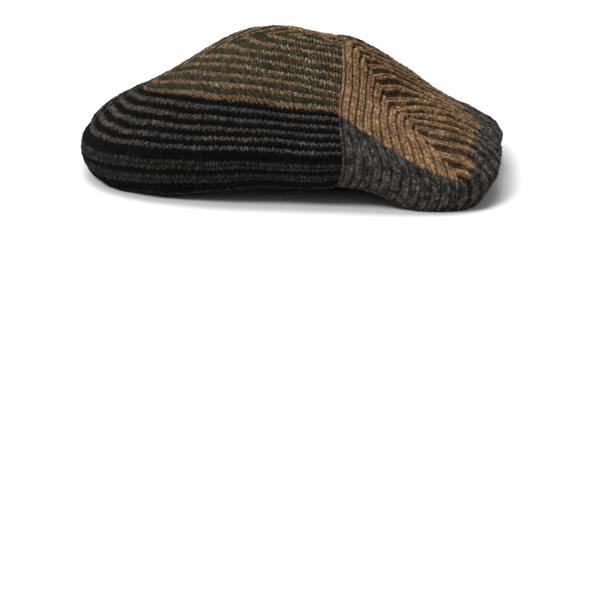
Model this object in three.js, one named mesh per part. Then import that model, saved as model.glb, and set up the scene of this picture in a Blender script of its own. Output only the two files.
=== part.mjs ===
// Knit beret: four mitred crown quarters, four rim quarters and a headband.
// Millimetres, +Z up, standing on its rolled rim at z = 0, front towards -Y.
// Azimuth is in degrees, 0 at the front (-Y), growing towards the wearer's left side (+X).
import * as THREE from "three";

// ---------------------------------------------------------------- driving dimensions
const WALL = 3.6;            // thickness of the knitted fabric
const GAP = 0.3;             // clearance between neighbouring pieces
const RIB_DEPTH = 1.5;       // how far a rib groove sinks below its ridge
const RIBS_PER_HALF = 13;    // ribs between a seam and the mitre, at the colour change
const PLAIN_COLUMNS = 10;    // mesh columns between a seam and the mitre of a striped quarter
const CROWN_ROWS = 10;       // mesh rows from the crown centre to the colour change
const ROLL_ROWS = 7;         // mesh rows from the colour change down to the flattened foot
const UNDER_ROWS = 4;        // mesh rows from the flattened foot to the headband
const FOOT_START = 4.85;     // ring positions between which the rim rests flat
const FOOT_END = 5.15;
const EYE = 0.02;            // share of the crown left open at the drawn-in centre
const WALE_SPREAD = 54;      // half angle a quarter takes up in the fabric, degrees
const BOW_LATENESS = 2.4;    // above 1, a bowed mitre bows most in its outer half
const EDGE_BEND = 3;         // above 1, straight ribs bend only close to the colour change
const MITRE_REACH = 2;       // above 1, straight ribs bend only close to the mitre
const FOOT_HEIGHT = 3;       // rib relief fades out this far above the floor
const HEADBAND_TOP = 21;
const HEADBAND_FOOT = 3;
const HEADBAND_COLUMNS = 56;
const HEADBAND_GAP = 0.6;    // clearance between the neck edge and the headband
const HEADBAND_ROUNDING = 0.9;

// Section rings from the crown centre, over the shoulder and rolled rim, to the headband.
// Each is a rounded square: middle, half widths, height, slope across and slope to the back.
const RINGS = [
  // name       midX  midY  halfX  halfY  height  slopeX  slopeY  square
  ["centre",    24.5, -30,     0,     0,    85,    0.00,   0.00,   2.0],
  ["inner",     20.0, -24,    32,    28,    81,   -0.10,   0.00,   2.0],
  ["middle",    13.0,  -8,    65,    64,    66,   -0.12,   0.00,   2.2],
  ["shoulder",   4.0,   0,    99,    98,    45,   -0.05,  -0.09,   2.6],
  ["rim",        0.0,   4,   130,   121,    18,   -0.01,  -0.04,   3.0],
  ["foot",       0.0,   4,   116,   109,  -2.5,    0.00,   0.00,   3.0],
  ["under",      0.0,   4,   101,    99,    12,    0.00,   0.00,   2.3],
  ["neck",       0.0,   4,    88,    91,    16,    0.00,   0.00,   2.0],
];

// Soft folds and lobes. ring is the place along RINGS, lift is upwards, push is outwards.
const FOLDS = [
  // name           azimuth  spread  ring  ringSpread  lift  push
  ["left_peak",       -115,     45,   1.6,        1.0,    6,    0],
  ["left_fall",       -100,     40,   2.6,        1.1,   -6,   -2],
  ["front_lobe",       -30,     38,   2.6,        1.2,    6,    3],
  ["crown_dip",         80,     50,   1.0,        0.8,   -4,    0],
  ["mitre_valley",      38,     14,   2.0,        1.4,   -7,   -3],
  ["right_fall",        85,     45,   2.2,        1.2,   -4,    0],
  ["right_nose",        92,     32,   3.8,        0.5,   -1,    5],
  ["right_tuck",        73,     24,   4.8,        0.9,   11,  -13],
  ["right_droop",       42,     19,   4.8,        1.2,   -3,   20],
  ["left_droop",       -50,     24,   4.9,        1.2,    0,    8],
  ["front_arch",        -6,     27,   5.0,        1.2,   11,    0],
  ["lobe_arch",         18,     11,   5.0,        1.2,    9,    0],
  ["back_roll",        180,     70,   3.8,        0.9,    6,    0],
];

// Ring position of the colour change, all the way round.
const COLOUR_CHANGE = [
  // azimuth  ring
  [-180, 2.90],
  [-112, 2.95],
  [-62, 3.07],
  [-20, 3.10],
  [12, 3.05],
  [28, 3.72],
  [40, 4.10],
  [48, 3.65],
  [56, 3.45],
  [78, 3.38],
  [92, 3.18],
  [180, 2.90],
];

// Quarters: the two seams, the mitre azimuth at the centre and at the rim, how far the mitre
// bows aside on the way, and how far the ribs beside each seam crowd towards the mitre.
const QUARTERS = [
  // name         seamA  mitreIn  mitreOut  bow  seamB  ribbed  crowdA  crowdB
  ["front_left",   -112,     -92,      -62,   0,    12,  false,    0.0,    0.0],
  ["front_right",    12,      48,       39,  -3,   126,   true,    0.0,    0.5],
  ["back_right",    126,     152,      152,   0,   178,  false,    0.0,    0.0],
  ["back_left",     178,     212,      212,   0,   248,   true,    0.0,    0.0],
];

const CROWN_YARN = { front_left: 0x64574a, front_right: 0x86684c, back_right: 0x64574a, back_left: 0x86684c };
const RIM_YARN = { front_left: 0x2b2b2d, front_right: 0x4a4a4c, back_right: 0x2b2b2d, back_left: 0x4a4a4c };
const HEADBAND_YARN = 0x38383a;

// Slides the rings so that the finished footprint is centred over the frame origin.
const CENTRING = [-0.19, -3.03];

const LAST_RING = RINGS.length - 1;
const RADIAN = Math.PI / 180;
const SLOPE_STEP = 0.02;
const TURN_STEP = 0.5;

// ---------------------------------------------------------------- smooth surface
const mix = (a, b, t) => a + (b - a) * t;
const bell = (x) => Math.exp(-x * x);
const clamp = (x, low, high) => Math.min(Math.max(x, low), high);
const turned = (angle) => angle - 360 * Math.floor((angle + 180) / 360);

// Piecewise-linear reading of a two-column table.
function readTable(table, key) {
  let row = 1;
  while (row < table.length - 1 && table[row][0] < key) row += 1;
  const [keyA, valueA] = table[row - 1];
  const [keyB, valueB] = table[row];
  return mix(valueA, valueB, (key - keyA) / (keyB - keyA));
}

// Point of one section ring at an azimuth; the spline reads past the centre to the far side.
function ringPoint(index, azimuth) {
  const mirrored = index < 0;
  const row = RINGS[Math.min(Math.abs(index), LAST_RING)];
  const [, midX, midY, halfX, halfY, height, slopeX, slopeY, square] = row;
  const angle = (azimuth + (mirrored ? 180 : 0)) * RADIAN;
  const sine = Math.sin(angle);
  const cosine = -Math.cos(angle);
  const reach = (Math.abs(sine) ** square + Math.abs(cosine) ** square) ** (-1 / square);
  const x = halfX * reach * sine;
  const y = halfY * reach * cosine;
  return [midX + CENTRING[0] + x, midY + CENTRING[1] + y, height + slopeX * x + slopeY * y];
}

function catmullRom(p0, p1, p2, p3, t) {
  const cubic = 3 * p1 - p0 - 3 * p2 + p3;
  const square = 2 * p0 - 5 * p1 + 4 * p2 - p3;
  return 0.5 * (2 * p1 + (p2 - p0) * t + square * t * t + cubic * t * t * t);
}

// Point of the outer face at an azimuth and a place along the rings.
function surfacePoint(azimuth, ring) {
  const index = clamp(Math.floor(ring), 0, LAST_RING - 1);
  const around = [index - 1, index, index + 1, index + 2].map((i) => ringPoint(i, azimuth));
  const point = [0, 1, 2].map((axis) => catmullRom(...around.map((p) => p[axis]), ring - index));
  for (const [, middle, spread, place, placeSpread, lift, push] of FOLDS) {
    const across = bell(turned(azimuth - middle) / spread);
    const share = across * bell((ring - place) / placeSpread) * clamp(ring, 0, 1);
    point[0] += share * push * Math.sin(azimuth * RADIAN);
    point[1] -= share * push * Math.cos(azimuth * RADIAN);
    point[2] += share * lift;
  }
  return new THREE.Vector3(...point);
}

// Outward direction of the fabric there.
function surfaceNormal(azimuth, ring) {
  const low = Math.max(ring - SLOPE_STEP, SLOPE_STEP);
  const around = surfacePoint(azimuth + TURN_STEP, ring).sub(surfacePoint(azimuth - TURN_STEP, ring));
  const outward = surfacePoint(azimuth, ring + SLOPE_STEP).sub(surfacePoint(azimuth, low));
  return outward.cross(around).normalize();
}

// Point of the fabric, sunk below its outer face; nothing goes under the floor.
function fabricPoint(azimuth, ring, groove, depth) {
  const point = surfacePoint(azimuth, ring);
  const fade = clamp(point.z / FOOT_HEIGHT, 0, 1);
  point.addScaledVector(surfaceNormal(azimuth, ring), -(groove * fade + depth));
  point.z = Math.max(point.z, depth);
  return point;
}

// ---------------------------------------------------------------- fabric layout
// Course 0 is the crown centre and course 1 the colour change; wale 0 is a seam and the
// mitre lies where wale = course. Wales run out from the mitre, courses run round.
const mitreAt = (half, course) => (
  mix(half.mitreIn, half.mitreOut, course) + half.bow * Math.sin(Math.PI * course ** BOW_LATENESS)
);

// Point on a flat disk where the ring position is the distance from the crown centre.
const onDisk = (azimuth, ring) => (
  new THREE.Vector2(Math.sin(azimuth * RADIAN), Math.cos(azimuth * RADIAN)).multiplyScalar(ring)
);

const changeAt = (azimuth) => readTable(COLOUR_CHANGE, turned(azimuth));
const edgeOnDisk = (azimuth) => onDisk(azimuth, changeAt(azimuth));

// Straight courses and wales on the flat disk, bent close to the edge to meet the colour change.
function flatPlace(half, course, wale) {
  const first = edgeOnDisk(half.seam);
  const last = edgeOnDisk(half.mitreOut);
  const crowded = wale * (1 + half.crowding * (1 - wale));
  const along = last.sub(first).multiplyScalar(wale);
  const bend = edgeOnDisk(mix(half.seam, half.mitreOut, crowded)).sub(first).sub(along);
  return first.multiplyScalar(course).add(along).addScaledVector(bend, course ** EDGE_BEND);
}

// Ribbed quarters: straight ribs, drawn over where they reach the mitre.
function straightPlace(half, course, wale) {
  const corner = onDisk(mitreAt(half, course), course * changeAt(half.mitreOut));
  const pull = corner.sub(flatPlace(half, course, course));
  const place = flatPlace(half, course, wale).addScaledVector(pull, (wale / course) ** MITRE_REACH);
  const azimuth = Math.atan2(place.x, place.y) / RADIAN;
  return [half.seam + turned(azimuth - half.seam), place.length()];
}

// Striped quarters: courses that keep to the curve of the colour change.
function curvedPlace(half, course, wale) {
  const spread = WALE_SPREAD * RADIAN;
  const angle = Math.atan((wale / course) * Math.tan(spread));
  const turn = mix(angle / spread, wale / course, course);
  const azimuth = mix(half.seam, mitreAt(half, course), turn);
  const corner = 1 + (1 / Math.cos(angle) - 1) * (1 - course);
  return [azimuth, changeAt(azimuth) * course * corner];
}

function crownPlace(half, course, wale) {
  return half.ribbed ? straightPlace(half, course, wale) : curvedPlace(half, course, wale);
}

// Azimuth shift that opens half the clearance at a seam.
function seamShift(azimuth, ring) {
  const step = surfacePoint(azimuth + TURN_STEP, ring).distanceTo(surfacePoint(azimuth, ring));
  return (GAP / 2 / step) * TURN_STEP;
}

function inset(half, place, wale) {
  const [azimuth, ring] = place;
  return wale > 0 ? place : [azimuth + half.inward * seamShift(azimuth, ring), ring];
}

// Ring step that opens half the clearance at the colour change.
function edgeShift(azimuth, ring) {
  const step = surfacePoint(azimuth, ring + SLOPE_STEP).distanceTo(surfacePoint(azimuth, ring));
  return (GAP / 2 / step) * SLOPE_STEP;
}

// ---------------------------------------------------------------- closed meshes
class Shell {
  constructor() {
    this.positions = [];
    this.faces = [];
  }

  vertex(point, key) {
    this.positions.push(point.x, point.y, point.z);
    return { index: this.positions.length / 3 - 1, key };
  }

  face(a, b, c) {
    this.faces.push(a.index, b.index, c.index);
  }

  // Strip between two rows of vertices, stepping along whichever key comes next; where keys
  // are equal rowA goes first, or rowB if asked, so facing walls share their diagonals.
  zip(rowA, rowB, equalStepsB = false) {
    let a = 0;
    let b = 0;
    while (a < rowA.length - 1 || b < rowB.length - 1) {
      const ahead = a === rowA.length - 1 ? Infinity : rowA[a + 1].key;
      const aheadB = b === rowB.length - 1 ? Infinity : rowB[b + 1].key;
      if (ahead < aheadB || (ahead === aheadB && !equalStepsB)) {
        this.face(rowA[a], rowA[a + 1], rowB[b]);
        a += 1;
      } else {
        this.face(rowA[a], rowB[b + 1], rowB[b]);
        b += 1;
      }
    }
  }

  zipAll(columns) {
    for (let i = 0; i < columns.length - 1; i += 1) this.zip(columns[i], columns[i + 1]);
  }

  mesh(name, colour) {
    const geometry = new THREE.BufferGeometry();
    geometry.setAttribute("position", new THREE.Float32BufferAttribute(this.positions, 3));
    geometry.setIndex(this.faces);
    geometry.computeVertexNormals();
    const material = new THREE.MeshStandardMaterial({ color: colour, roughness: 0.95, metalness: 0 });
    const mesh = new THREE.Mesh(geometry, material);
    mesh.name = name;
    return mesh;
  }
}

// Ends of a run of columns, keyed by their place in the run, for the wall along that edge.
const edgeOf = (columns, pick, keys) => columns.map((column, i) => ({ ...pick(column), key: keys[i] }));
const lastOf = (column) => column[column.length - 1];
const firstOf = (column) => column[0];

function columnCount(ribbed) {
  return ribbed ? 2 * RIBS_PER_HALF : PLAIN_COLUMNS;
}

// Odd columns of a ribbed quarter are grooves.
function grooveAt(ribbed, column) {
  return ribbed && column % 2 === 1 ? RIB_DEPTH : 0;
}

function halvesOf(quarter) {
  const [, seamA, mitreIn, mitreOut, bow, seamB, ribbed, crowdA, crowdB] = quarter;
  return [
    { seam: seamA, mitreIn, mitreOut, bow, ribbed, crowding: crowdA, inward: 1 },
    { seam: seamB, mitreIn, mitreOut, bow, ribbed, crowding: crowdB, inward: -1 },
  ];
}

// One face of a crown quarter: a column for each ridge and groove, all starting on the mitre.
function crownFace(shell, quarter, depth) {
  const ribbed = quarter[6];
  const count = columnCount(ribbed);
  const skip = ribbed && depth > 0 ? 2 : 1;
  const kept = [];
  for (let column = 0; column <= count; column += skip) kept.push(column);
  const [halfA, halfB] = halvesOf(quarter);
  const point = (half, course, wale, column) => {
    const [azimuth, ring] = inset(half, crownPlace(half, course, wale), wale);
    const pulled = course === 1 ? ring - edgeShift(azimuth, ring) : ring;
    return shell.vertex(fabricPoint(azimuth, pulled, grooveAt(ribbed, column), depth), course);
  };
  const starts = kept.map((column) => {
    const wale = Math.max(column / count, EYE);
    return point(halfA, wale, wale, column);
  });
  const columnsOf = (half) => kept.map((column, i) => {
    const wale = column / count;
    const run = [starts[i]];
    if (column === 0) run.push(point(half, EYE, wale, column));
    for (let row = 1; row <= CROWN_ROWS; row += 1) {
      const course = row / CROWN_ROWS;
      const clear = course - wale > 0.3 / CROWN_ROWS;
      if (clear) run.push(point(half, course, wale, column));
    }
    return run;
  });
  const left = columnsOf(halfA);
  const right = columnsOf(halfB);
  const keys = [...kept, ...kept.slice(0, -1).map((column) => 2 * count - column).reverse()];
  return { columns: [...left, ...right.slice(0, -1).reverse()], keys };
}

// Ring positions of the mesh rows of a rim quarter, with both edges of the foot among them.
function rimRows(first) {
  const roll = Array.from({ length: ROLL_ROWS + 1 }, (_, row) => (
    mix(first, FOOT_START, row / ROLL_ROWS)
  ));
  const under = Array.from({ length: UNDER_ROWS + 1 }, (_, row) => (
    mix(FOOT_END, LAST_RING, row / UNDER_ROWS)
  ));
  return [...roll, ...under];
}

// One face of a rim quarter: the same columns carried on over the roll to the headband.
function rimFace(shell, quarter, depth) {
  const ribbed = quarter[6];
  const count = columnCount(ribbed);
  const skip = ribbed && depth > 0 ? 2 : 1;
  const columns = [];
  const keys = [];
  const [halfA, halfB] = halvesOf(quarter);
  for (let key = 0; key <= 2 * count; key += skip) {
    const half = key <= count ? halfA : halfB;
    const column = Math.min(key, 2 * count - key);
    const [azimuth, start] = crownPlace(half, 1, column / count);
    const places = rimRows(start + edgeShift(azimuth, start));
    columns.push(places.map((place, row) => {
      const [turnedTo, ring] = inset(half, [azimuth, place], column);
      return shell.vertex(fabricPoint(turnedTo, ring, grooveAt(ribbed, column), depth), row);
    }));
    keys.push(key);
  }
  return { columns, keys };
}

// Joins an outer and an inner face into one closed wall.
function closedWall(outer, inner, shell, openStart) {
  shell.zipAll(outer.columns);
  shell.zipAll([...inner.columns].reverse());
  shell.zip(inner.columns[0], outer.columns[0], true);
  shell.zip(lastOf(outer.columns), lastOf(inner.columns));
  const outerEnd = edgeOf(outer.columns, lastOf, outer.keys);
  const innerEnd = edgeOf(inner.columns, lastOf, inner.keys);
  shell.zip(innerEnd, outerEnd, true);
  if (openStart) {
    const outerStart = edgeOf(outer.columns, firstOf, outer.keys);
    const innerStart = edgeOf(inner.columns, firstOf, inner.keys);
    shell.zip(outerStart, innerStart);
  }
}

function crownQuarter(quarter) {
  const shell = new Shell();
  closedWall(crownFace(shell, quarter, 0), crownFace(shell, quarter, WALL), shell, false);
  return shell.mesh(`crown_${quarter[0]}`, CROWN_YARN[quarter[0]]);
}

function rimQuarter(quarter) {
  const shell = new Shell();
  closedWall(rimFace(shell, quarter, 0), rimFace(shell, quarter, WALL), shell, true);
  return shell.mesh(`rim_${quarter[0]}`, RIM_YARN[quarter[0]]);
}

// Plain tube hanging inside the neck edge, with rounded lips.
function headband() {
  const shell = new Shell();
  const [, ringX, ringY, halfX, halfY] = RINGS[LAST_RING];
  const midX = ringX + CENTRING[0];
  const midY = ringY + CENTRING[1];
  const lip = HEADBAND_ROUNDING;
  const section = [
    [0, HEADBAND_FOOT + lip],
    [0, HEADBAND_TOP - lip],
    [lip, HEADBAND_TOP],
    [WALL - lip, HEADBAND_TOP],
    [WALL, HEADBAND_TOP - lip],
    [WALL, HEADBAND_FOOT + lip],
    [WALL - lip, HEADBAND_FOOT],
    [lip, HEADBAND_FOOT],
  ];
  const columns = [];
  for (let step = 0; step < HEADBAND_COLUMNS; step += 1) {
    const angle = (2 * Math.PI * step) / HEADBAND_COLUMNS;
    const run = section.map(([inward, height], i) => {
      const shrink = HEADBAND_GAP + inward;
      const x = midX + (halfX - shrink) * Math.sin(angle);
      const y = midY - (halfY - shrink) * Math.cos(angle);
      return shell.vertex(new THREE.Vector3(x, y, height), i);
    });
    run.push({ ...run[0], key: section.length });
    columns.push(run);
  }
  columns.push(columns[0]);
  shell.zipAll(columns.reverse());
  return shell.mesh("headband", HEADBAND_YARN);
}

const beret = new THREE.Group();
beret.name = "knit_beret";
for (const quarter of QUARTERS) {
  beret.add(crownQuarter(quarter));
  beret.add(rimQuarter(quarter));
}
beret.add(headband());

export default beret;
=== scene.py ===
"""Knit beret: stitch relief, yarn materials, floor, light and camera.

The fabric is worked out in mm and becomes metres when a mesh is built. Azimuth 0 is the front
(-Y) and grows towards +X. Ring 0 is the crown centre and the last ring the neck of the headband.
"""
import math
from collections import namedtuple
import bpy
import numpy as np
from mathutils import Matrix, Vector


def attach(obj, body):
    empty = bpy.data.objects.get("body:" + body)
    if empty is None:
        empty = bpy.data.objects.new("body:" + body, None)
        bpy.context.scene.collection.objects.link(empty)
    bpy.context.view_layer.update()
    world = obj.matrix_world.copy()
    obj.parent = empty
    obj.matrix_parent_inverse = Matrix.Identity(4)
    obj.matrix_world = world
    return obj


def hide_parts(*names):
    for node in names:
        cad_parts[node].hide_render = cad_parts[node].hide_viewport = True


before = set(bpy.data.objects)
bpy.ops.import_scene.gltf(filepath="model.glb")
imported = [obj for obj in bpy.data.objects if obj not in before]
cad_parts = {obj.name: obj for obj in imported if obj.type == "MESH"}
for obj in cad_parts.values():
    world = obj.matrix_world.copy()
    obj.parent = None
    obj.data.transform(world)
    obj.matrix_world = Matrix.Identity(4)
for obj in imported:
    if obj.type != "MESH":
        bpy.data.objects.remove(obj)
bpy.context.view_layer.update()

# ------------------------------------------------------------------ the smooth outer surface
WALL = 3.6
CENTRING = (-0.19, -3.03)       # shift of every ring that puts the footprint's middle at the origin
FOOT_RING = 5.0                 # the ring that rests on the floor
AZIMUTH_STEP = 0.5              # steps along the surface from which its normals are taken
RING_STEP = 0.02
TINY = 1e-9

# Level rings of the surface, tilted by their slopes; a square of 2 is an ellipse.
# name, midX, midY, halfX, halfY, height, slopeX, slopeY, square
RINGS = [
    ("centre", 24.5, -30, 0, 0, 85, 0.0, 0.0, 2.0),
    ("inner", 20.0, -24, 32, 28, 81, -0.10, 0.0, 2.0),
    ("middle", 13.0, -8, 65, 64, 66, -0.12, 0.0, 2.2),
    ("shoulder", 4.0, 0, 99, 98, 45, -0.05, -0.09, 2.6),
    ("rim", 0.0, 4, 130, 121, 18, -0.01, -0.04, 3.0),
    ("foot", 0.0, 4, 116, 109, -2.5, 0.0, 0.0, 3.0),
    ("under", 0.0, 4, 101, 99, 12, 0.0, 0.0, 2.3),
    ("neck", 0.0, 4, 88, 91, 16, 0.0, 0.0, 2.0),
]
LAST_RING = len(RINGS) - 1
# Folds lift the fabric and push it outwards, round a place on the surface.
# name, azimuth, spread, ring, ringSpread, lift, push
FOLDS = [
    ("left_peak", -115, 45, 1.6, 1.0, 6, 0),
    ("left_fall", -100, 40, 2.6, 1.1, -6, -2),
    ("front_lobe", -30, 38, 2.6, 1.2, 6, 3),
    ("crown_dip", 80, 50, 1.0, 0.8, -4, 0),
    ("mitre_valley", 38, 14, 2.0, 1.4, -7, -3),
    ("right_fall", 85, 45, 2.2, 1.2, -4, 0),
    ("right_nose", 92, 32, 3.8, 0.5, -1, 5),
    ("right_tuck", 73, 24, 4.8, 0.9, 11, -13),
    ("right_droop", 42, 19, 4.8, 1.2, -3, 20),
    ("left_droop", -50, 24, 4.9, 1.2, 0, 8),
    ("front_arch", -6, 27, 5.0, 1.2, 11, 0),
    ("lobe_arch", 18, 11, 5.0, 1.2, 9, 0),
    ("back_roll", 180, 70, 3.8, 0.9, 6, 0),
]


def turned(angle):
    """The same angle between -180 and 180 degrees."""
    return (angle + 180.0) % 360.0 - 180.0


def ring_points(index, azimuth):
    """Points of one section ring, chosen per element; below zero it reads the far side."""
    table = np.array([row[1:] for row in RINGS], dtype=float)
    row = table[np.minimum(np.abs(index), LAST_RING)]
    mid_x, mid_y, half_x, half_y, height, slope_x, slope_y, square = np.moveaxis(row, -1, 0)
    angle = np.radians(azimuth + np.where(index < 0, 180.0, 0.0))
    across, along = np.sin(angle), -np.cos(angle)
    reach = (np.abs(across) ** square + np.abs(along) ** square) ** (-1.0 / square)
    x, y = half_x * reach * across, half_y * reach * along
    z = height + slope_x * x + slope_y * y
    return np.stack([mid_x + CENTRING[0] + x, mid_y + CENTRING[1] + y, z], -1)


def surface(azimuth, ring):
    """Points of the smooth outer face: a Catmull-Rom curve through the rings, plus the folds."""
    azimuth, ring = np.broadcast_arrays(np.asarray(azimuth, float), np.asarray(ring, float))
    index = np.clip(np.floor(ring).astype(int), 0, LAST_RING - 1)
    p0, p1, p2, p3 = (ring_points(index + step, azimuth) for step in (-1, 0, 1, 2))
    t = (ring - index)[..., None]
    squared = 2 * p0 - 5 * p1 + 4 * p2 - p3
    cubed = 3 * p1 - p0 - 3 * p2 + p3
    point = 0.5 * (2 * p1 + (p2 - p0) * t + squared * t * t + cubed * t ** 3)
    for _, middle, spread, place, place_spread, lift, push in FOLDS:
        share = np.exp(-(turned(azimuth - middle) / spread) ** 2)
        share = share * np.exp(-((ring - place) / place_spread) ** 2) * np.clip(ring, 0, 1)
        point[..., 0] += share * push * np.sin(np.radians(azimuth))
        point[..., 1] -= share * push * np.cos(np.radians(azimuth))
        point[..., 2] += share * lift
    return point


def normals(azimuth, ring):
    """Unit normals that point out of the fabric."""
    inner = np.maximum(ring - RING_STEP, RING_STEP)
    around = surface(azimuth + AZIMUTH_STEP, ring) - surface(azimuth - AZIMUTH_STEP, ring)
    outward = surface(azimuth, ring + RING_STEP) - surface(azimuth, inner)
    normal = np.cross(outward, around)
    return normal / np.maximum(np.linalg.norm(normal, axis=-1, keepdims=True), TINY)


# ------------------------------------------------------------------ where the stitches lie
# In a crown quarter, course runs from 0 at the crown centre to 1 at the colour change, and wale
# from 0 at a seam to course at the mitre, where the two halves of the quarter meet.
EDGE_BEND = 3.0                     # how late the straight rows bend to meet the colour change
MITRE_REACH = 2.0                   # how close to the mitre the straight rows are pulled onto it
BOW_LATENESS = 2.4                  # how far out the mitre bows
WALE_SPREAD = math.radians(54)      # fan of the curved wales at the crown centre
LEAST_COURSE, LEAST_RING = 1e-4, 0.004      # the places nearest to the crown centre

# azimuth, ring of the colour change
COLOUR_CHANGE = [
    (-180, 2.90), (-112, 2.95), (-62, 3.07), (-20, 3.10), (12, 3.05), (28, 3.72),
    (40, 4.10), (48, 3.65), (56, 3.45), (78, 3.38), (92, 3.18), (180, 2.90),
]
# name, seamA, mitreIn, mitreOut, bow, seamB, ribbed, then for the halves at seamA and at seamB:
# crowding of the wales, mesh columns in a row, wales
QUARTERS = [
    ("front_left", -112, -98, -62, -8, 12, False, (0, 0), (2, 3), (34, 51)),
    ("front_right", 12, 48, 39, -3, 126, True, (0, 0.5), (2, 2), (26, 30)),
    ("back_right", 126, 152, 152, 0, 178, False, (0, 0), (2, 2), (34, 34)),
    ("back_left", 178, 212, 212, 0, 248, True, (0, 0), (2, 2), (26, 26)),
]
Half = namedtuple("Half", "seam mitre_in mitre_out bow crowding ribbed wales ridge")


def colour_change(azimuth):
    """Ring of the colour change at an azimuth."""
    angles, rings = zip(*COLOUR_CHANGE)
    return np.interp(turned(azimuth), angles, rings)


def edge_point(azimuth):
    """A point of the colour change on a flat disk, where the ring is the distance from the centre."""
    angle = np.radians(azimuth)
    return colour_change(azimuth)[..., None] * np.stack([np.sin(angle), np.cos(angle)], -1)


def mitre_azimuth(half, course):
    """Where the mitre lies at a course."""
    bow = half.bow * np.sin(math.pi * course ** BOW_LATENESS)
    return half.mitre_in + (half.mitre_out - half.mitre_in) * course + bow


def straight_place(half, course, wale):
    """Ribbed quarters: straight rows and columns on the flat disk, bent to meet the colour change."""
    first, last = edge_point(np.array(float(half.seam))), edge_point(np.array(float(half.mitre_out)))

    def flat(across):
        crowded = across * (1 + half.crowding * (1 - across))
        edge = edge_point(half.seam + (half.mitre_out - half.seam) * crowded)
        along = across[..., None] * (last - first)
        out = course[..., None]
        return out * first + along + out ** EDGE_BEND * (edge - first - along)

    mitre = np.radians(mitre_azimuth(half, course))
    corner = (course * np.linalg.norm(last))[..., None] * np.stack([np.sin(mitre), np.cos(mitre)], -1)
    share = (wale / course)[..., None]
    place = flat(wale) + share ** MITRE_REACH * (corner - flat(course))
    azimuth = half.seam + turned(np.degrees(np.arctan2(place[..., 0], place[..., 1])) - half.seam)
    return azimuth, np.linalg.norm(place, axis=-1)


def curved_place(half, course, wale):
    """Striped quarters: rows that keep to the curve of the colour change."""
    share = wale / course
    angle = np.arctan(share * math.tan(WALE_SPREAD))
    turn = angle / WALE_SPREAD * (1 - course) + share * course
    azimuth = half.seam + (mitre_azimuth(half, course) - half.seam) * turn
    return azimuth, colour_change(azimuth) * course * (1 + (1 / np.cos(angle) - 1) * (1 - course))


def crown_place(half, course, wale):
    """Azimuth and ring of a stitch of the crown."""
    course = np.maximum(course, LEAST_COURSE)
    return (straight_place if half.ribbed else curved_place)(half, course, np.minimum(wale, course))


# ------------------------------------------------------------------ stitches
# The same formulas raise the meshes and shade the materials: they work on arrays and on values
# in a node tree alike. wale counts columns of stitches from the seam. up counts rows: it is 0 at
# the colour change, grows towards the crown centre and is negative on the rim.
LEG_SLANT = 0.42                # rows that a leg of a V climbs from the middle of its wale
RIB_SLANT = 0.5
LEG_END = 0.25                  # height of a leg's ends, with 1 at its middle
RIB_ROUND = 0.4                 # share of a rib's height that comes from its round section
RIDGE_SHARE = (0.84, 0.62)      # ridge's share of a rib and its gap, in a quarter's two halves
PURL_EVENNESS = 0.6             # height of a purl bump between its two peaks, which are 1


class Value:
    """A number in a material's node tree that can be calculated with."""

    def __init__(self, tree, socket):
        self.tree, self.socket = tree, socket

    def math(self, kind, *others):
        node = self.tree.nodes.new("ShaderNodeMath")
        node.operation = kind
        for slot, value in zip(node.inputs, (self, *others)):
            if isinstance(value, Value):
                self.tree.links.new(value.socket, slot)
            else:
                slot.default_value = float(value)
        return Value(self.tree, node.outputs[0])

    def __add__(self, other):
        return self.math("ADD", other)

    def __sub__(self, other):
        return self.math("SUBTRACT", other)

    def __mul__(self, other):
        return self.math("MULTIPLY", other)

    def __truediv__(self, other):
        return self.math("DIVIDE", other)

    def __rsub__(self, other):
        return self.math("MULTIPLY", -1) + other

    __radd__ = __add__
    __rmul__ = __mul__


def either(kind, on_array):
    """A function that works on arrays and on values of a node tree."""
    def apply(value, *others):
        return value.math(kind, *others) if isinstance(value, Value) else on_array(value, *others)
    return apply


whole = either("FLOOR", np.floor)
size = either("ABSOLUTE", np.abs)
root = either("SQRT", lambda value: np.sqrt(np.maximum(value, 0)))
sine = either("SINE", np.sin)
lower = either("MINIMUM", np.minimum)
below = either("LESS_THAN", lambda value, limit: (value < limit).astype(float))


def leg_of(across, up, slant):
    """One slanted leg of a V: its height from 0 to 1 and its course."""
    level = up - slant * across
    course = whole(level)
    side = across * 2 - 1
    length = root(sine((level - course) * math.pi))
    return root(1 - side * side) * (LEG_END + (1 - LEG_END) * length), course


def plain_stitch(wale, up):
    """Stockinette: a column of Vs for each wale. Gives a height, a course and a leg."""
    across = size((wale - whole(wale)) * 2 - 1)
    height, course = leg_of(across, up, LEG_SLANT)
    return height, course, whole(wale * 2)


def rib_stitch(wale, up, ridge_share):
    """Rib: a ridge of Vs centred on every even wale, and a sunken purl wale between."""
    turn = (wale + ridge_share) * 0.5
    place = (turn - whole(turn)) / ridge_share
    side = place * 2 - 1
    across = lower(size(side), 1)
    leg, course = leg_of(across, up, RIB_SLANT)
    ridge = root(1 - across * across)
    height = below(place, 1) * (RIB_ROUND * ridge + (1 - RIB_ROUND) * leg)
    return height, course, whole(turn) * 2 + below(side, 0)


def purl_stitch(wale, up):
    """The back of the fabric: heights of rows of small bumps."""
    shift = whole(wale * 2) * 0.5
    bump = 0.5 + 0.5 * sine((up + shift) * 2 * math.pi)
    return bump * (PURL_EVENNESS + (1 - PURL_EVENNESS) * size(sine(wale * 2 * math.pi)))


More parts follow.
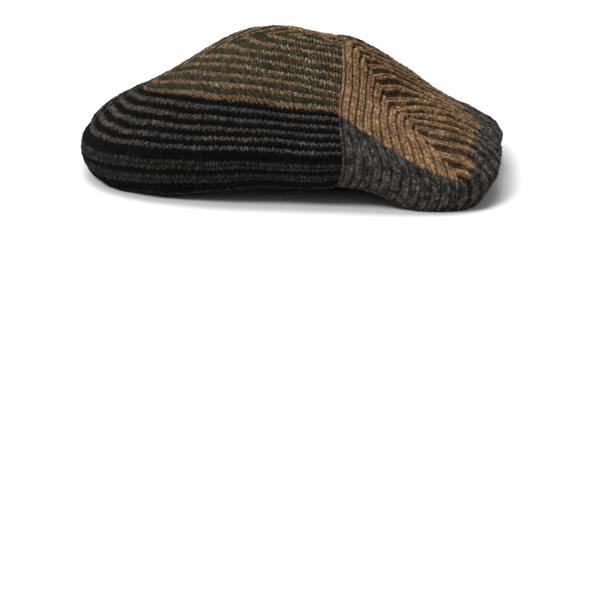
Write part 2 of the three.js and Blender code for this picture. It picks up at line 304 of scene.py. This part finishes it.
# ------------------------------------------------------------------ relief of the fabric, mm
PLAIN_RELIEF, PLAIN_SINK = 1.35, 1.0
RIB_RELIEF, RIB_SINK = 1.9, 1.7
RIM_SOFTNESS = 0.7              # relief of the ribs on the rim, as a share of the crown's
RIM_SOFT_ROWS = 4               # rows over which the ribs soften
LEG_UNEVENNESS = 0.35           # difference in height from leg to leg
SEAM_SINK, SEAM_WALES = 0.7, 0.7
FOOT_HEIGHT = 3.0               # height below which the relief is pressed flat by the floor
FOOT_RELIEF = 0.35
PURL_RELIEF = 0.5
PURL_RISE = 0.4                 # depth inside the wall's inner face at which the bumps start
LINING_FOOT = WALL - 0.6        # lowest height of the lining
# amount, spacing in mm, seed; the amounts are rows, wales and mm
ROW_WANDER = (0.14, 34.0, 5)
WALE_WANDER = (0.12, 27.0, 9)
SWELLS = [(0.40, 38.0, 3), (0.22, 11.0, 4)]
WAVES, WAVE_PACES = 6, (0.7, 1.5)
WAVE_SUM = 2.6                  # brings the sum of the waves to about -1 to 1
KEY_STEP, OTHER_STEP, CHANCE_SCALE = 12.9898, 78.233, 43758.5453
# name, azimuth, ring, rise, reach
CENTRE_SHAPE = [("dimple", 0, 0.0, -1.6, 3.0), ("knob", 75, 0.35, 1.8, 7.0)]


def wander(points, amount, spacing, seed):
    """Smooth noise in space, the same on both sides of every join."""
    random = np.random.default_rng(seed)
    total = np.zeros(points.shape[:-1])
    for _ in range(WAVES):
        direction = random.normal(size=3)
        direction *= random.uniform(*WAVE_PACES) / np.linalg.norm(direction)
        total += np.sin(points @ direction * (2 * math.pi / spacing) + random.uniform(0, 2 * math.pi))
    return amount * (total / WAVE_SUM)


def chance(key, other):
    """Repeatable random number from 0 to 1 for a pair of whole numbers."""
    mixed = np.sin(key * KEY_STEP + other * OTHER_STEP) * CHANCE_SCALE
    return np.modf(np.abs(mixed))[0]


# ------------------------------------------------------------------ meshes
MM_PER_METRE = 1000.0
PLAIN_COURSES = 20              # courses from the colour change to the crown centre
RIB_COURSES = 38
RIM_COURSES = 20                # striped courses from the colour change to the foot
PLAIN_COURSE_MM = 3.2
RIB_COURSE_MM = 2.6
TRACK_STEPS = 100               # points at which a column of the rim is measured
CROWN_ROWS = 120                # mesh rows of the crown, the roll to the foot and the underside
ROLL_ROWS = 100
UNDER_ROWS = 24
LINING_COLUMNS = 2
LINING_ROWS = 40
LINING_ROLL_ROWS = 34
LINING_UNDER_ROWS = 20


def lattice(rows, ratio):
    """Triangle of vertices from the crown centre; row n has ratio * n + 1 of them."""
    counts = ratio * np.arange(rows + 1) + 1
    first = np.concatenate([[0], np.cumsum(counts)[:-1]])
    row = np.repeat(np.arange(rows + 1), counts)
    column = np.arange(counts.sum()) - first[row]
    inner = (column < ratio * row) & (row < rows)
    here = np.nonzero(inner)[0]
    next_row = first[row[here] + 1] + column[here]
    quads = np.stack([here, here + 1, next_row + 1, next_row], -1)
    ends = first[:-1] + ratio * np.arange(rows)
    after = first[1:] + ratio * np.arange(rows)
    fans = [np.stack([ends, after + k + 1, after + k], -1) for k in range(ratio)]
    return row, column, quads, np.concatenate(fans)


def grid(rows, columns):
    """Quads of a rows by columns grid of vertices."""
    index = np.arange(rows * columns).reshape(rows, columns)
    quads = np.stack([index[:-1, :-1], index[:-1, 1:], index[1:, 1:], index[1:, :-1]], -1)
    return quads.reshape(-1, 4)


class Piece:
    """Collects vertices, faces and stitch coordinates of one knitted piece."""

    def __init__(self):
        self.points, self.faces = [], []
        self.layers = {"wale": [], "up": [], "inside": [], "ridge": []}
        self.count = 0

    def add(self, points, faces, facing, **layers):
        for group in faces:
            a, b, c = points[group[:, 0]], points[group[:, 1]], points[group[:, -1]]
            wrong = np.sum(np.cross(b - a, c - a) * facing[group[:, 0]]) < 0
            self.faces.append((group[:, ::-1] if wrong else group) + self.count)
        self.points.append(points)
        for title, values in layers.items():
            self.layers[title].append(np.broadcast_to(values, points.shape[:1]).astype(np.float32))
        self.count += len(points)

    def build(self, name, material):
        mesh = bpy.data.meshes.new(name)
        points = np.concatenate(self.points) / MM_PER_METRE
        sizes = np.concatenate([np.full(len(group), group.shape[1]) for group in self.faces])
        corners = np.concatenate([group.ravel() for group in self.faces])
        mesh.vertices.add(len(points))
        mesh.vertices.foreach_set("co", points.astype(np.float32).ravel())
        mesh.loops.add(len(corners))
        mesh.loops.foreach_set("vertex_index", corners.astype(np.int32))
        mesh.polygons.add(len(sizes))
        starts = np.concatenate([[0], np.cumsum(sizes)[:-1]])
        mesh.polygons.foreach_set("loop_start", starts.astype(np.int32))
        mesh.polygons.foreach_set("use_smooth", np.ones(len(sizes), dtype=bool))
        mesh.update(calc_edges=True)
        for title, values in self.layers.items():
            layer = mesh.attributes.new(title, "FLOAT", "POINT")
            layer.data.foreach_set("value", np.concatenate(values))
        mesh.materials.append(material)
        piece = bpy.data.objects.new(name, mesh)
        bpy.context.scene.collection.objects.link(piece)
        return piece


def knit_face(piece, half, azimuth, ring, up, wale, faces):
    """The outer face of a stretch of fabric, raised into stitches."""
    base = surface(azimuth, ring)
    facing = normals(azimuth, ring)
    up = up + wander(base, *ROW_WANDER)
    wale = wale + wander(base, *WALE_WANDER)
    if half.ribbed:
        height, course, leg = rib_stitch(wale, up, half.ridge)
        crownward = np.exp(-(np.minimum(up, 0) / RIM_SOFT_ROWS) ** 2)
        relief = (height * RIB_RELIEF - RIB_SINK) * (RIM_SOFTNESS + (1 - RIM_SOFTNESS) * crownward)
    else:
        height, course, leg = plain_stitch(wale, up)
        relief = height * PLAIN_RELIEF - PLAIN_SINK
    relief = relief + height * LEG_UNEVENNESS * (chance(leg, course) - 0.5)
    swell = sum(wander(base, *row) for row in SWELLS)
    fade = np.clip(base[:, 2] / FOOT_HEIGHT, FOOT_RELIEF, 1)
    seam = SEAM_SINK * np.exp(-(wale / SEAM_WALES) ** 2)
    centre = sum(rise * np.exp(-np.sum((base - surface(turn, place)) ** 2, axis=-1) / reach ** 2)
                 for _, turn, place, rise, reach in CENTRE_SHAPE)
    points = base + facing * ((relief - seam) * fade + swell + centre)[:, None]
    points[:, 2] = np.maximum(points[:, 2], 0.0)
    piece.add(points, faces, facing, wale=wale, up=up, inside=0.0, ridge=half.ridge)


def lining_face(piece, _, azimuth, ring, up, wale, faces):
    """The inner face: purl bumps, a wall thickness in."""
    base = surface(azimuth, ring)
    facing = normals(azimuth, ring)
    bump = PURL_RELIEF * purl_stitch(wale, up)
    points = base - facing * (WALL - PURL_RISE + bump)[:, None]
    points[:, 2] = np.maximum(points[:, 2], LINING_FOOT)
    piece.add(points, faces, -facing, wale=wale, up=up, inside=1.0, ridge=1.0)


def crown_half(piece, half, face, rows, ratio):
    """One face of half a crown quarter, from the crown centre to the colour change."""
    row, column, quads, fans = lattice(rows, ratio)
    course = row / rows
    wale = column / (ratio * rows)
    azimuth, ring = crown_place(half, course, wale)
    up = (1 - course) * (RIB_COURSES if half.ribbed else PLAIN_COURSES)
    face(piece, half, azimuth, np.maximum(ring, LEAST_RING), up, wale * half.wales, [quads, fans])


def rim_pace(half, length, drop, foot, foot_drop):
    """Rows knitted along a column of the rim, counted from the colour change."""
    if half.ribbed:
        return length / RIB_COURSE_MM
    before_foot = 0.5 * (length / foot + drop / foot_drop) * RIM_COURSES
    return np.where(length < foot, before_foot, RIM_COURSES + (length - foot) / PLAIN_COURSE_MM)


def rim_half(piece, half, face, columns, roll_rows, under_rows):
    """Columns run on from the colour change, down the roll and back under to the headband."""
    wale = np.arange(columns + 1) / columns
    azimuth, start = crown_place(half, np.ones(columns + 1), wale)
    rings, ups = [], []
    for angle, first in zip(azimuth, start):
        track = np.linspace(first, LAST_RING, TRACK_STEPS)
        steps = np.diff(surface(np.full(TRACK_STEPS, angle), track), axis=0)
        length = np.concatenate([[0], np.cumsum(np.linalg.norm(steps, axis=-1))])
        drop = np.concatenate([[0], np.cumsum(np.abs(steps[:, 2]))])
        foot, foot_drop = (np.interp(FOOT_RING, track, values) for values in (length, drop))
        pace = rim_pace(half, length, drop, foot, foot_drop)
        foot_pace = np.interp(FOOT_RING, track, pace)
        paces = np.concatenate([np.linspace(0, foot_pace, roll_rows + 1),
                                np.linspace(foot_pace, pace[-1], under_rows + 1)[1:]])
        rings.append(np.interp(paces, pace, track))
        ups.append(-paces)
    ring, up = np.array(rings).T, np.array(ups).T
    flat = [np.broadcast_to(values, ring.shape).ravel()
            for values in (azimuth, ring, up, wale * half.wales)]
    face(piece, half, *flat, [grid(*ring.shape)])


# ------------------------------------------------------------------ materials
ROUGHNESS, SPECULAR = 0.95, 0.04
SHEEN, SHEEN_ROUGHNESS = 0.03, 0.5
STITCH_BUMP = (0.6, 0.0008)         # strength, distance in m
FIBRE_BUMP = (1.0, 0.0004)
# scale per metre, detail, roughness
WALE_NOISE = (560.0, 2.0, 0.6)
COURSE_NOISE = (690.0, 2.0, 0.6)
FIBRE_NOISE = (1700.0, 3.0, 0.7)
WALE_FUZZ, COURSE_FUZZ = 0.7, 1.1   # wales and rows by which the noise frays a stitch's outline
# scale per metre, detail, roughness, low, high, and the tones at low and high
HEATHER = [
    (1150.0, 3.0, 0.75, 0.36, 0.68, 0.08, 2.20),
    (420.0, 2.0, 0.6, 0.34, 0.66, 0.65, 1.32),
    (40.0, 2.0, 0.5, 0.30, 0.70, 0.86, 1.14),
]
RIM_LUMPS = (270.0, 2.0, 0.6, 0.38, 0.60, 0.43, 1.30)
LEG_TONE = (0.60, 1.40)             # darkest and lightest leg
PAINTED_CREVICE_SHADE = (0.14, 1.15)         # painted shade between the stitches, and the tone on top of them
STITCH_TOP = 0.9
ABOVE_RIM = -0.5                    # courses are whole numbers, and negative on the rim
CREVICE_SHADE_LIFT = (0.32, 0.08)         # how far the painted crevice shade is lightened, in a quarter's two halves; the second half keeps darker painted shade in its grooves
# further lightening of the painted crevice shade on the rim
RIM_SHADE_LIFT = 0.1
HALF_SHADE = (0.98, 0.89)            # painted shade on the crown's ribs, in a quarter's two halves: the second half is painted darker as if turned from the light
STRIPE_LEVEL = 0.54                 # height of a stitch below which the dark yarn shows
WIDE_ROW, WIDE_ROWS = 11, 3.25      # first row and width of the rim's wide stripes
# light yarn share of the wide stripes: the stripes are the pattern, their dimness is painted shade low
# on the rim
WIDE_SHADED_LIGHT = 0.45


def srgb(red, green, blue):
    """Linear colour from display values 0 to 255."""
    shares = [value / 255 for value in (red, green, blue)]
    return (*(((s + 0.055) / 1.055) ** 2.4 if s > 0.04 else s / 12.92 for s in shares), 1.0)


class Wool:
    """The node tree of one yarn material. Each method adds a node and gives its value."""

    def __init__(self, name):
        self.material = bpy.data.materials.new(name)
        self.material.use_nodes = True
        self.tree = self.material.node_tree
        self.tree.nodes.clear()
        self.place = Value(self.tree, self.node("TexCoord").outputs["Object"])

    def node(self, kind, **settings):
        node = self.tree.nodes.new("ShaderNode" + kind)
        for title, value in settings.items():
            setattr(node, title, value)
        return node

    def feed(self, slot, value):
        if isinstance(value, Value):
            self.tree.links.new(value.socket, slot)
        else:
            slot.default_value = value

    def feed_all(self, node, **values):
        for title, value in values.items():
            self.feed(node.inputs[title.replace("_", " ")], value)

    def attribute(self, title):
        return Value(self.tree, self.node("Attribute", attribute_name=title).outputs["Fac"])

    def mixed(self, factor, first, second, blend="MIX"):
        node = self.node("Mix", data_type="RGBA", blend_type=blend)
        for slot, value in ((0, factor), (6, first), (7, second)):
            self.feed(node.inputs[slot], value)
        return Value(self.tree, node.outputs[2])

    def fitted(self, value, *limits):
        """The value, with the first two limits moved to the last two."""
        node = self.node("MapRange")
        for slot, number in zip(node.inputs, (value, *limits)):
            self.feed(slot, number)
        return Value(self.tree, node.outputs[0])

    def noise(self, scale, detail, roughness):
        node = self.node("TexNoise")
        self.feed_all(node, Vector=self.place, Scale=scale, Detail=detail, Roughness=roughness)
        return Value(self.tree, node.outputs["Fac"])

    def tone(self, scale, detail, roughness, *limits):
        return self.fitted(self.noise(scale, detail, roughness), *limits)

    def white(self, first, second):
        """Random number from 0 to 1 for a pair of whole numbers."""
        join = self.node("CombineXYZ")
        self.feed_all(join, X=first, Y=second)
        node = self.node("TexWhiteNoise")
        self.feed_all(node, Vector=Value(self.tree, join.outputs[0]))
        return Value(self.tree, node.outputs["Value"])

    def bump(self, height, strength, distance, **under):
        node = self.node("Bump")
        self.feed_all(node, Height=height, Strength=strength, Distance=distance, **under)
        return Value(self.tree, node.outputs["Normal"])

    def finish(self, colour, normal):
        shader = self.node("BsdfPrincipled")
        self.feed_all(shader, Base_Color=colour, Normal=normal, Roughness=ROUGHNESS,
                      Specular_IOR_Level=SPECULAR, Sheen_Weight=SHEEN, Sheen_Roughness=SHEEN_ROUGHNESS)
        output = self.node("OutputMaterial")
        self.feed_all(output, Surface=Value(self.tree, shader.outputs["BSDF"]))
        return self.material


def light_rows(course):
    """1 on a light row and 0 on a dark one; low on the rim wide stripes take over, and their light
    rows are dimmed as painted shade.
    """
    row = course * -1
    even = 1 - (course - whole(course / 2) * 2)
    wide = (row - WIDE_ROW) / WIDE_ROWS
    late = 1 - below(row, WIDE_ROW - 0.5)
    return even + ((1 - below(wide - whole(wide), 0.5)) * WIDE_SHADED_LIGHT - even) * late


def yarn_material(name, ribbed, crown_light, crown_dark, rim_light, rim_dark):
    """Wool: stitches and stripes from the mesh's wale and up, and the fibre from noise."""
    wool = Wool(name)
    inside, ridge = wool.attribute("inside"), wool.attribute("ridge")
    wale = wool.attribute("wale") + (wool.noise(*WALE_NOISE) - 0.5) * WALE_FUZZ
    up = wool.attribute("up") + (wool.noise(*COURSE_NOISE) - 0.5) * COURSE_FUZZ
    height, course, leg = rib_stitch(wale, up, ridge) if ribbed else plain_stitch(wale, up)
    height = height + (purl_stitch(wale, up) - height) * inside
    in_rim = below(course, ABOVE_RIM)
    light = light_rows(course)
    top = height
    tones = [wool.tone(*row) for row in HEATHER]
    tones.append(wool.fitted(wool.white(leg, course), 0.0, 1.0, *LEG_TONE))
    if ribbed:
        # Per half of a ribbed quarter: the lift of the painted crevice shade, and the painted shade
        # that darkens the crown's second half; on the rim random lumps of tone take over from that
        # shade.
        by_half = [wool.fitted(ridge, *RIDGE_SHARE[::-1], *pair[::-1])
                   for pair in (CREVICE_SHADE_LIFT, HALF_SHADE)]
        top = height + (1 - height) * lower(by_half[0] + in_rim * RIM_SHADE_LIFT, 1)
        tones.append(by_half[1] + (wool.tone(*RIM_LUMPS) - by_half[1]) * in_rim)
    else:
        light = light * (1 - below(height, STRIPE_LEVEL))
    # Painted shade: the colour darkens into the crevices between the stitches.
    tones.append(wool.fitted(top, 0.0, STITCH_TOP, *PAINTED_CREVICE_SHADE))
    crown, rim = wool.mixed(light, crown_dark, crown_light), wool.mixed(light, rim_dark, rim_light)
    colour = wool.mixed(in_rim, crown, rim)
    for tone in tones:
        colour = wool.mixed(1.0, colour, tone, "MULTIPLY")
    stitches = wool.bump(height, *STITCH_BUMP)
    fibres = wool.bump(wool.noise(*FIBRE_NOISE), *FIBRE_BUMP, Normal=stitches)
    return wool.finish(colour, fibres)


TAN, OLIVE = srgb(112, 91, 67), srgb(53, 52, 38)
GREY, BLACK = srgb(64, 62, 60), srgb(10, 9, 9)
RIB_TAN, CHARCOAL = srgb(127, 99, 71), srgb(65, 63, 60)
BAND = srgb(52, 51, 49)
STRIPE_YARN = yarn_material("striped_wool", False, TAN, OLIVE, GREY, BLACK)
RIB_YARN = yarn_material("ribbed_wool", True, RIB_TAN, RIB_TAN, CHARCOAL, CHARCOAL)
BAND_YARN = yarn_material("headband_wool", True, BAND, BAND, BAND, BAND)


# ------------------------------------------------------------------ the beret
def place_piece(piece, node_name):
    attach(piece, "root")
    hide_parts(node_name)


for quarter, seam_a, mitre_in, mitre_out, bow, seam_b, ribbed, crowding, ratios, wales in QUARTERS:
    yarn = RIB_YARN if ribbed else STRIPE_YARN
    crown, rim = Piece(), Piece()
    for index, seam in enumerate((seam_a, seam_b)):
        half = Half(seam, mitre_in, mitre_out, bow, crowding[index], ribbed, wales[index],
                    RIDGE_SHARE[index])
        ratio = ratios[index]
        crown_half(crown, half, knit_face, CROWN_ROWS, ratio)
        crown_half(crown, half, lining_face, LINING_ROWS, LINING_COLUMNS)
        rim_half(rim, half, knit_face, ratio * CROWN_ROWS, ROLL_ROWS, UNDER_ROWS)
        rim_half(rim, half, lining_face, LINING_COLUMNS * LINING_ROWS, LINING_ROLL_ROWS,
                 LINING_UNDER_ROWS)
    place_piece(crown.build("crown_" + quarter + "_knit", yarn), "crown_" + quarter)
    place_piece(rim.build("rim_" + quarter + "_knit", yarn), "rim_" + quarter)

BAND_TOP, BAND_FOOT = 21.0, 3.0
BAND_GAP = 0.6                  # clearance between the headband and the neck
BAND_RIBS = 96
COLUMNS_PER_RIB = 6
BAND_RELIEF = 0.9
BAND_SIDE_ROWS = 9
BAND_TURN_ROWS = 7


def headband():
    """Ribbed tube: down the outside, round the lower edge and up the inside."""
    _, neck_x, neck_y, half_x, half_y, *_ = RINGS[-1]
    half = WALL / 2
    top, foot = BAND_TOP - half, BAND_FOOT + half
    turns = np.linspace(0, math.pi, BAND_TURN_ROWS)[1:-1]
    outside = [(half, z) for z in np.linspace(top, foot, BAND_SIDE_ROWS)]
    under = [(half * math.cos(turn), foot - half * math.sin(turn)) for turn in turns]
    inside = [(-half, z) for z in np.linspace(foot, top, BAND_SIDE_ROWS)]
    over = [(-half * math.cos(turn), top + half * math.sin(turn)) for turn in turns]
    profile = np.array(outside + under + inside + over + outside[:1])
    length = np.concatenate([[0], np.cumsum(np.linalg.norm(np.diff(profile, axis=0), axis=-1))])
    angle = np.linspace(0, 2 * math.pi, BAND_RIBS * COLUMNS_PER_RIB + 1)
    shape = (len(profile), len(angle))
    wale = np.broadcast_to(angle * BAND_RIBS / math.pi, shape)      # two wales for each rib
    up = np.broadcast_to(-length[:, None] / RIB_COURSE_MM, shape)
    sink = BAND_RELIEF * (1 - rib_stitch(wale, up, RIDGE_SHARE[0])[0])
    out = profile[:, :1]
    reach = out * (1 - sink / half) - BAND_GAP - half
    points = np.stack([
        neck_x + CENTRING[0] + (half_x + reach) * np.sin(angle),
        neck_y + CENTRING[1] - (half_y + reach) * np.cos(angle),
        np.broadcast_to(profile[:, 1:], shape),
    ], -1).reshape(-1, 3)
    radial = np.stack([np.sin(angle), -np.cos(angle), 0 * angle], -1)
    facing = (np.sign(out)[:, None] * radial).reshape(-1, 3)
    piece = Piece()
    piece.add(points, [grid(*shape)], facing, wale=wale.ravel(), up=up.ravel(), inside=0.0,
              ridge=RIDGE_SHARE[0])
    return piece.build("headband_knit", BAND_YARN)


place_piece(headband(), "headband")

# ------------------------------------------------------------------ floor and light
FLOOR_SIZE = 14.0
FLOOR_WHITE = (0.86, 0.86, 0.86, 1)
FLOOR_ROUGHNESS, FLOOR_SPECULAR = 0.8, 0.2
SKY_WHITE, SKY_STRENGTH = (1, 1, 1, 1), 0.36
# name, direction that it comes from, width in degrees, strength
LIGHTS = [
    ("key", (-0.85, -0.75, 1.30), 24.0, 1.95),
    ("top", (-0.25, 0.30, 1.60), 36.0, 2.05),
]
scene = bpy.context.scene

bpy.ops.mesh.primitive_plane_add(size=FLOOR_SIZE, location=(0, 0, 0))
floor = bpy.context.object
floor.name = "floor"
white = bpy.data.materials.new("floor_white")
white.use_nodes = True
floor_shader = white.node_tree.nodes["Principled BSDF"]
floor_shader.inputs["Base Color"].default_value = FLOOR_WHITE
floor_shader.inputs["Roughness"].default_value = FLOOR_ROUGHNESS
floor_shader.inputs["Specular IOR Level"].default_value = FLOOR_SPECULAR
floor.data.materials.append(white)

world = bpy.data.worlds.new("studio")
world.use_nodes = True
sky = world.node_tree.nodes["Background"]
sky.inputs["Color"].default_value = SKY_WHITE
sky.inputs["Strength"].default_value = SKY_STRENGTH
scene.world = world

for name, origin, width, strength in LIGHTS:
    sun = bpy.data.lights.new(name, "SUN")
    sun.angle = math.radians(width)
    sun.energy = strength
    light = bpy.data.objects.new(name, sun)
    scene.collection.objects.link(light)
    light.location = origin
    light.rotation_mode = "QUATERNION"
    light.rotation_quaternion = (-Vector(origin)).to_track_quat("-Z", "Y")

# ------------------------------------------------------------------ camera
# It looks from the front, a little from above, and leans. It is aimed below the beret and a
# little to its right, so that the beret sits in the upper part of the picture.
ELEVATION = math.radians(14.0)
LEAN = math.radians(2.0)
DISTANCE = 1.40
AIM_BELOW = math.radians(3.607)
AIM_RIGHT = 0.00317
SENSOR_MM, LENS_MM = 36.0, 132.3
CLIP_START, CLIP_END = 0.05, 50

pitch = ELEVATION + AIM_BELOW
forward = Vector((0, math.cos(pitch), -math.sin(pitch)))
level_up = Vector((0, math.sin(pitch), math.cos(pitch)))
level_right = Vector((1, 0, 0))
right = level_right * math.cos(LEAN) + level_up * math.sin(LEAN)
up = level_up * math.cos(LEAN) - level_right * math.sin(LEAN)
sight = forward * math.cos(AIM_BELOW) + up * math.sin(AIM_BELOW)
middle = Vector((CENTRING[0], CENTRING[1], 0)) / MM_PER_METRE
stand = middle - sight * DISTANCE + right * AIM_RIGHT
lens = bpy.data.cameras.new("camera")
lens.sensor_width = SENSOR_MM
lens.lens = LENS_MM
lens.clip_start = CLIP_START
lens.clip_end = CLIP_END
camera = bpy.data.objects.new("camera", lens)
scene.collection.objects.link(camera)
turn = Matrix((right, up, -forward)).transposed()
camera.matrix_world = Matrix.Translation(stand) @ turn.to_4x4()
scene.camera = camera
scene.view_settings.view_transform = "Standard"
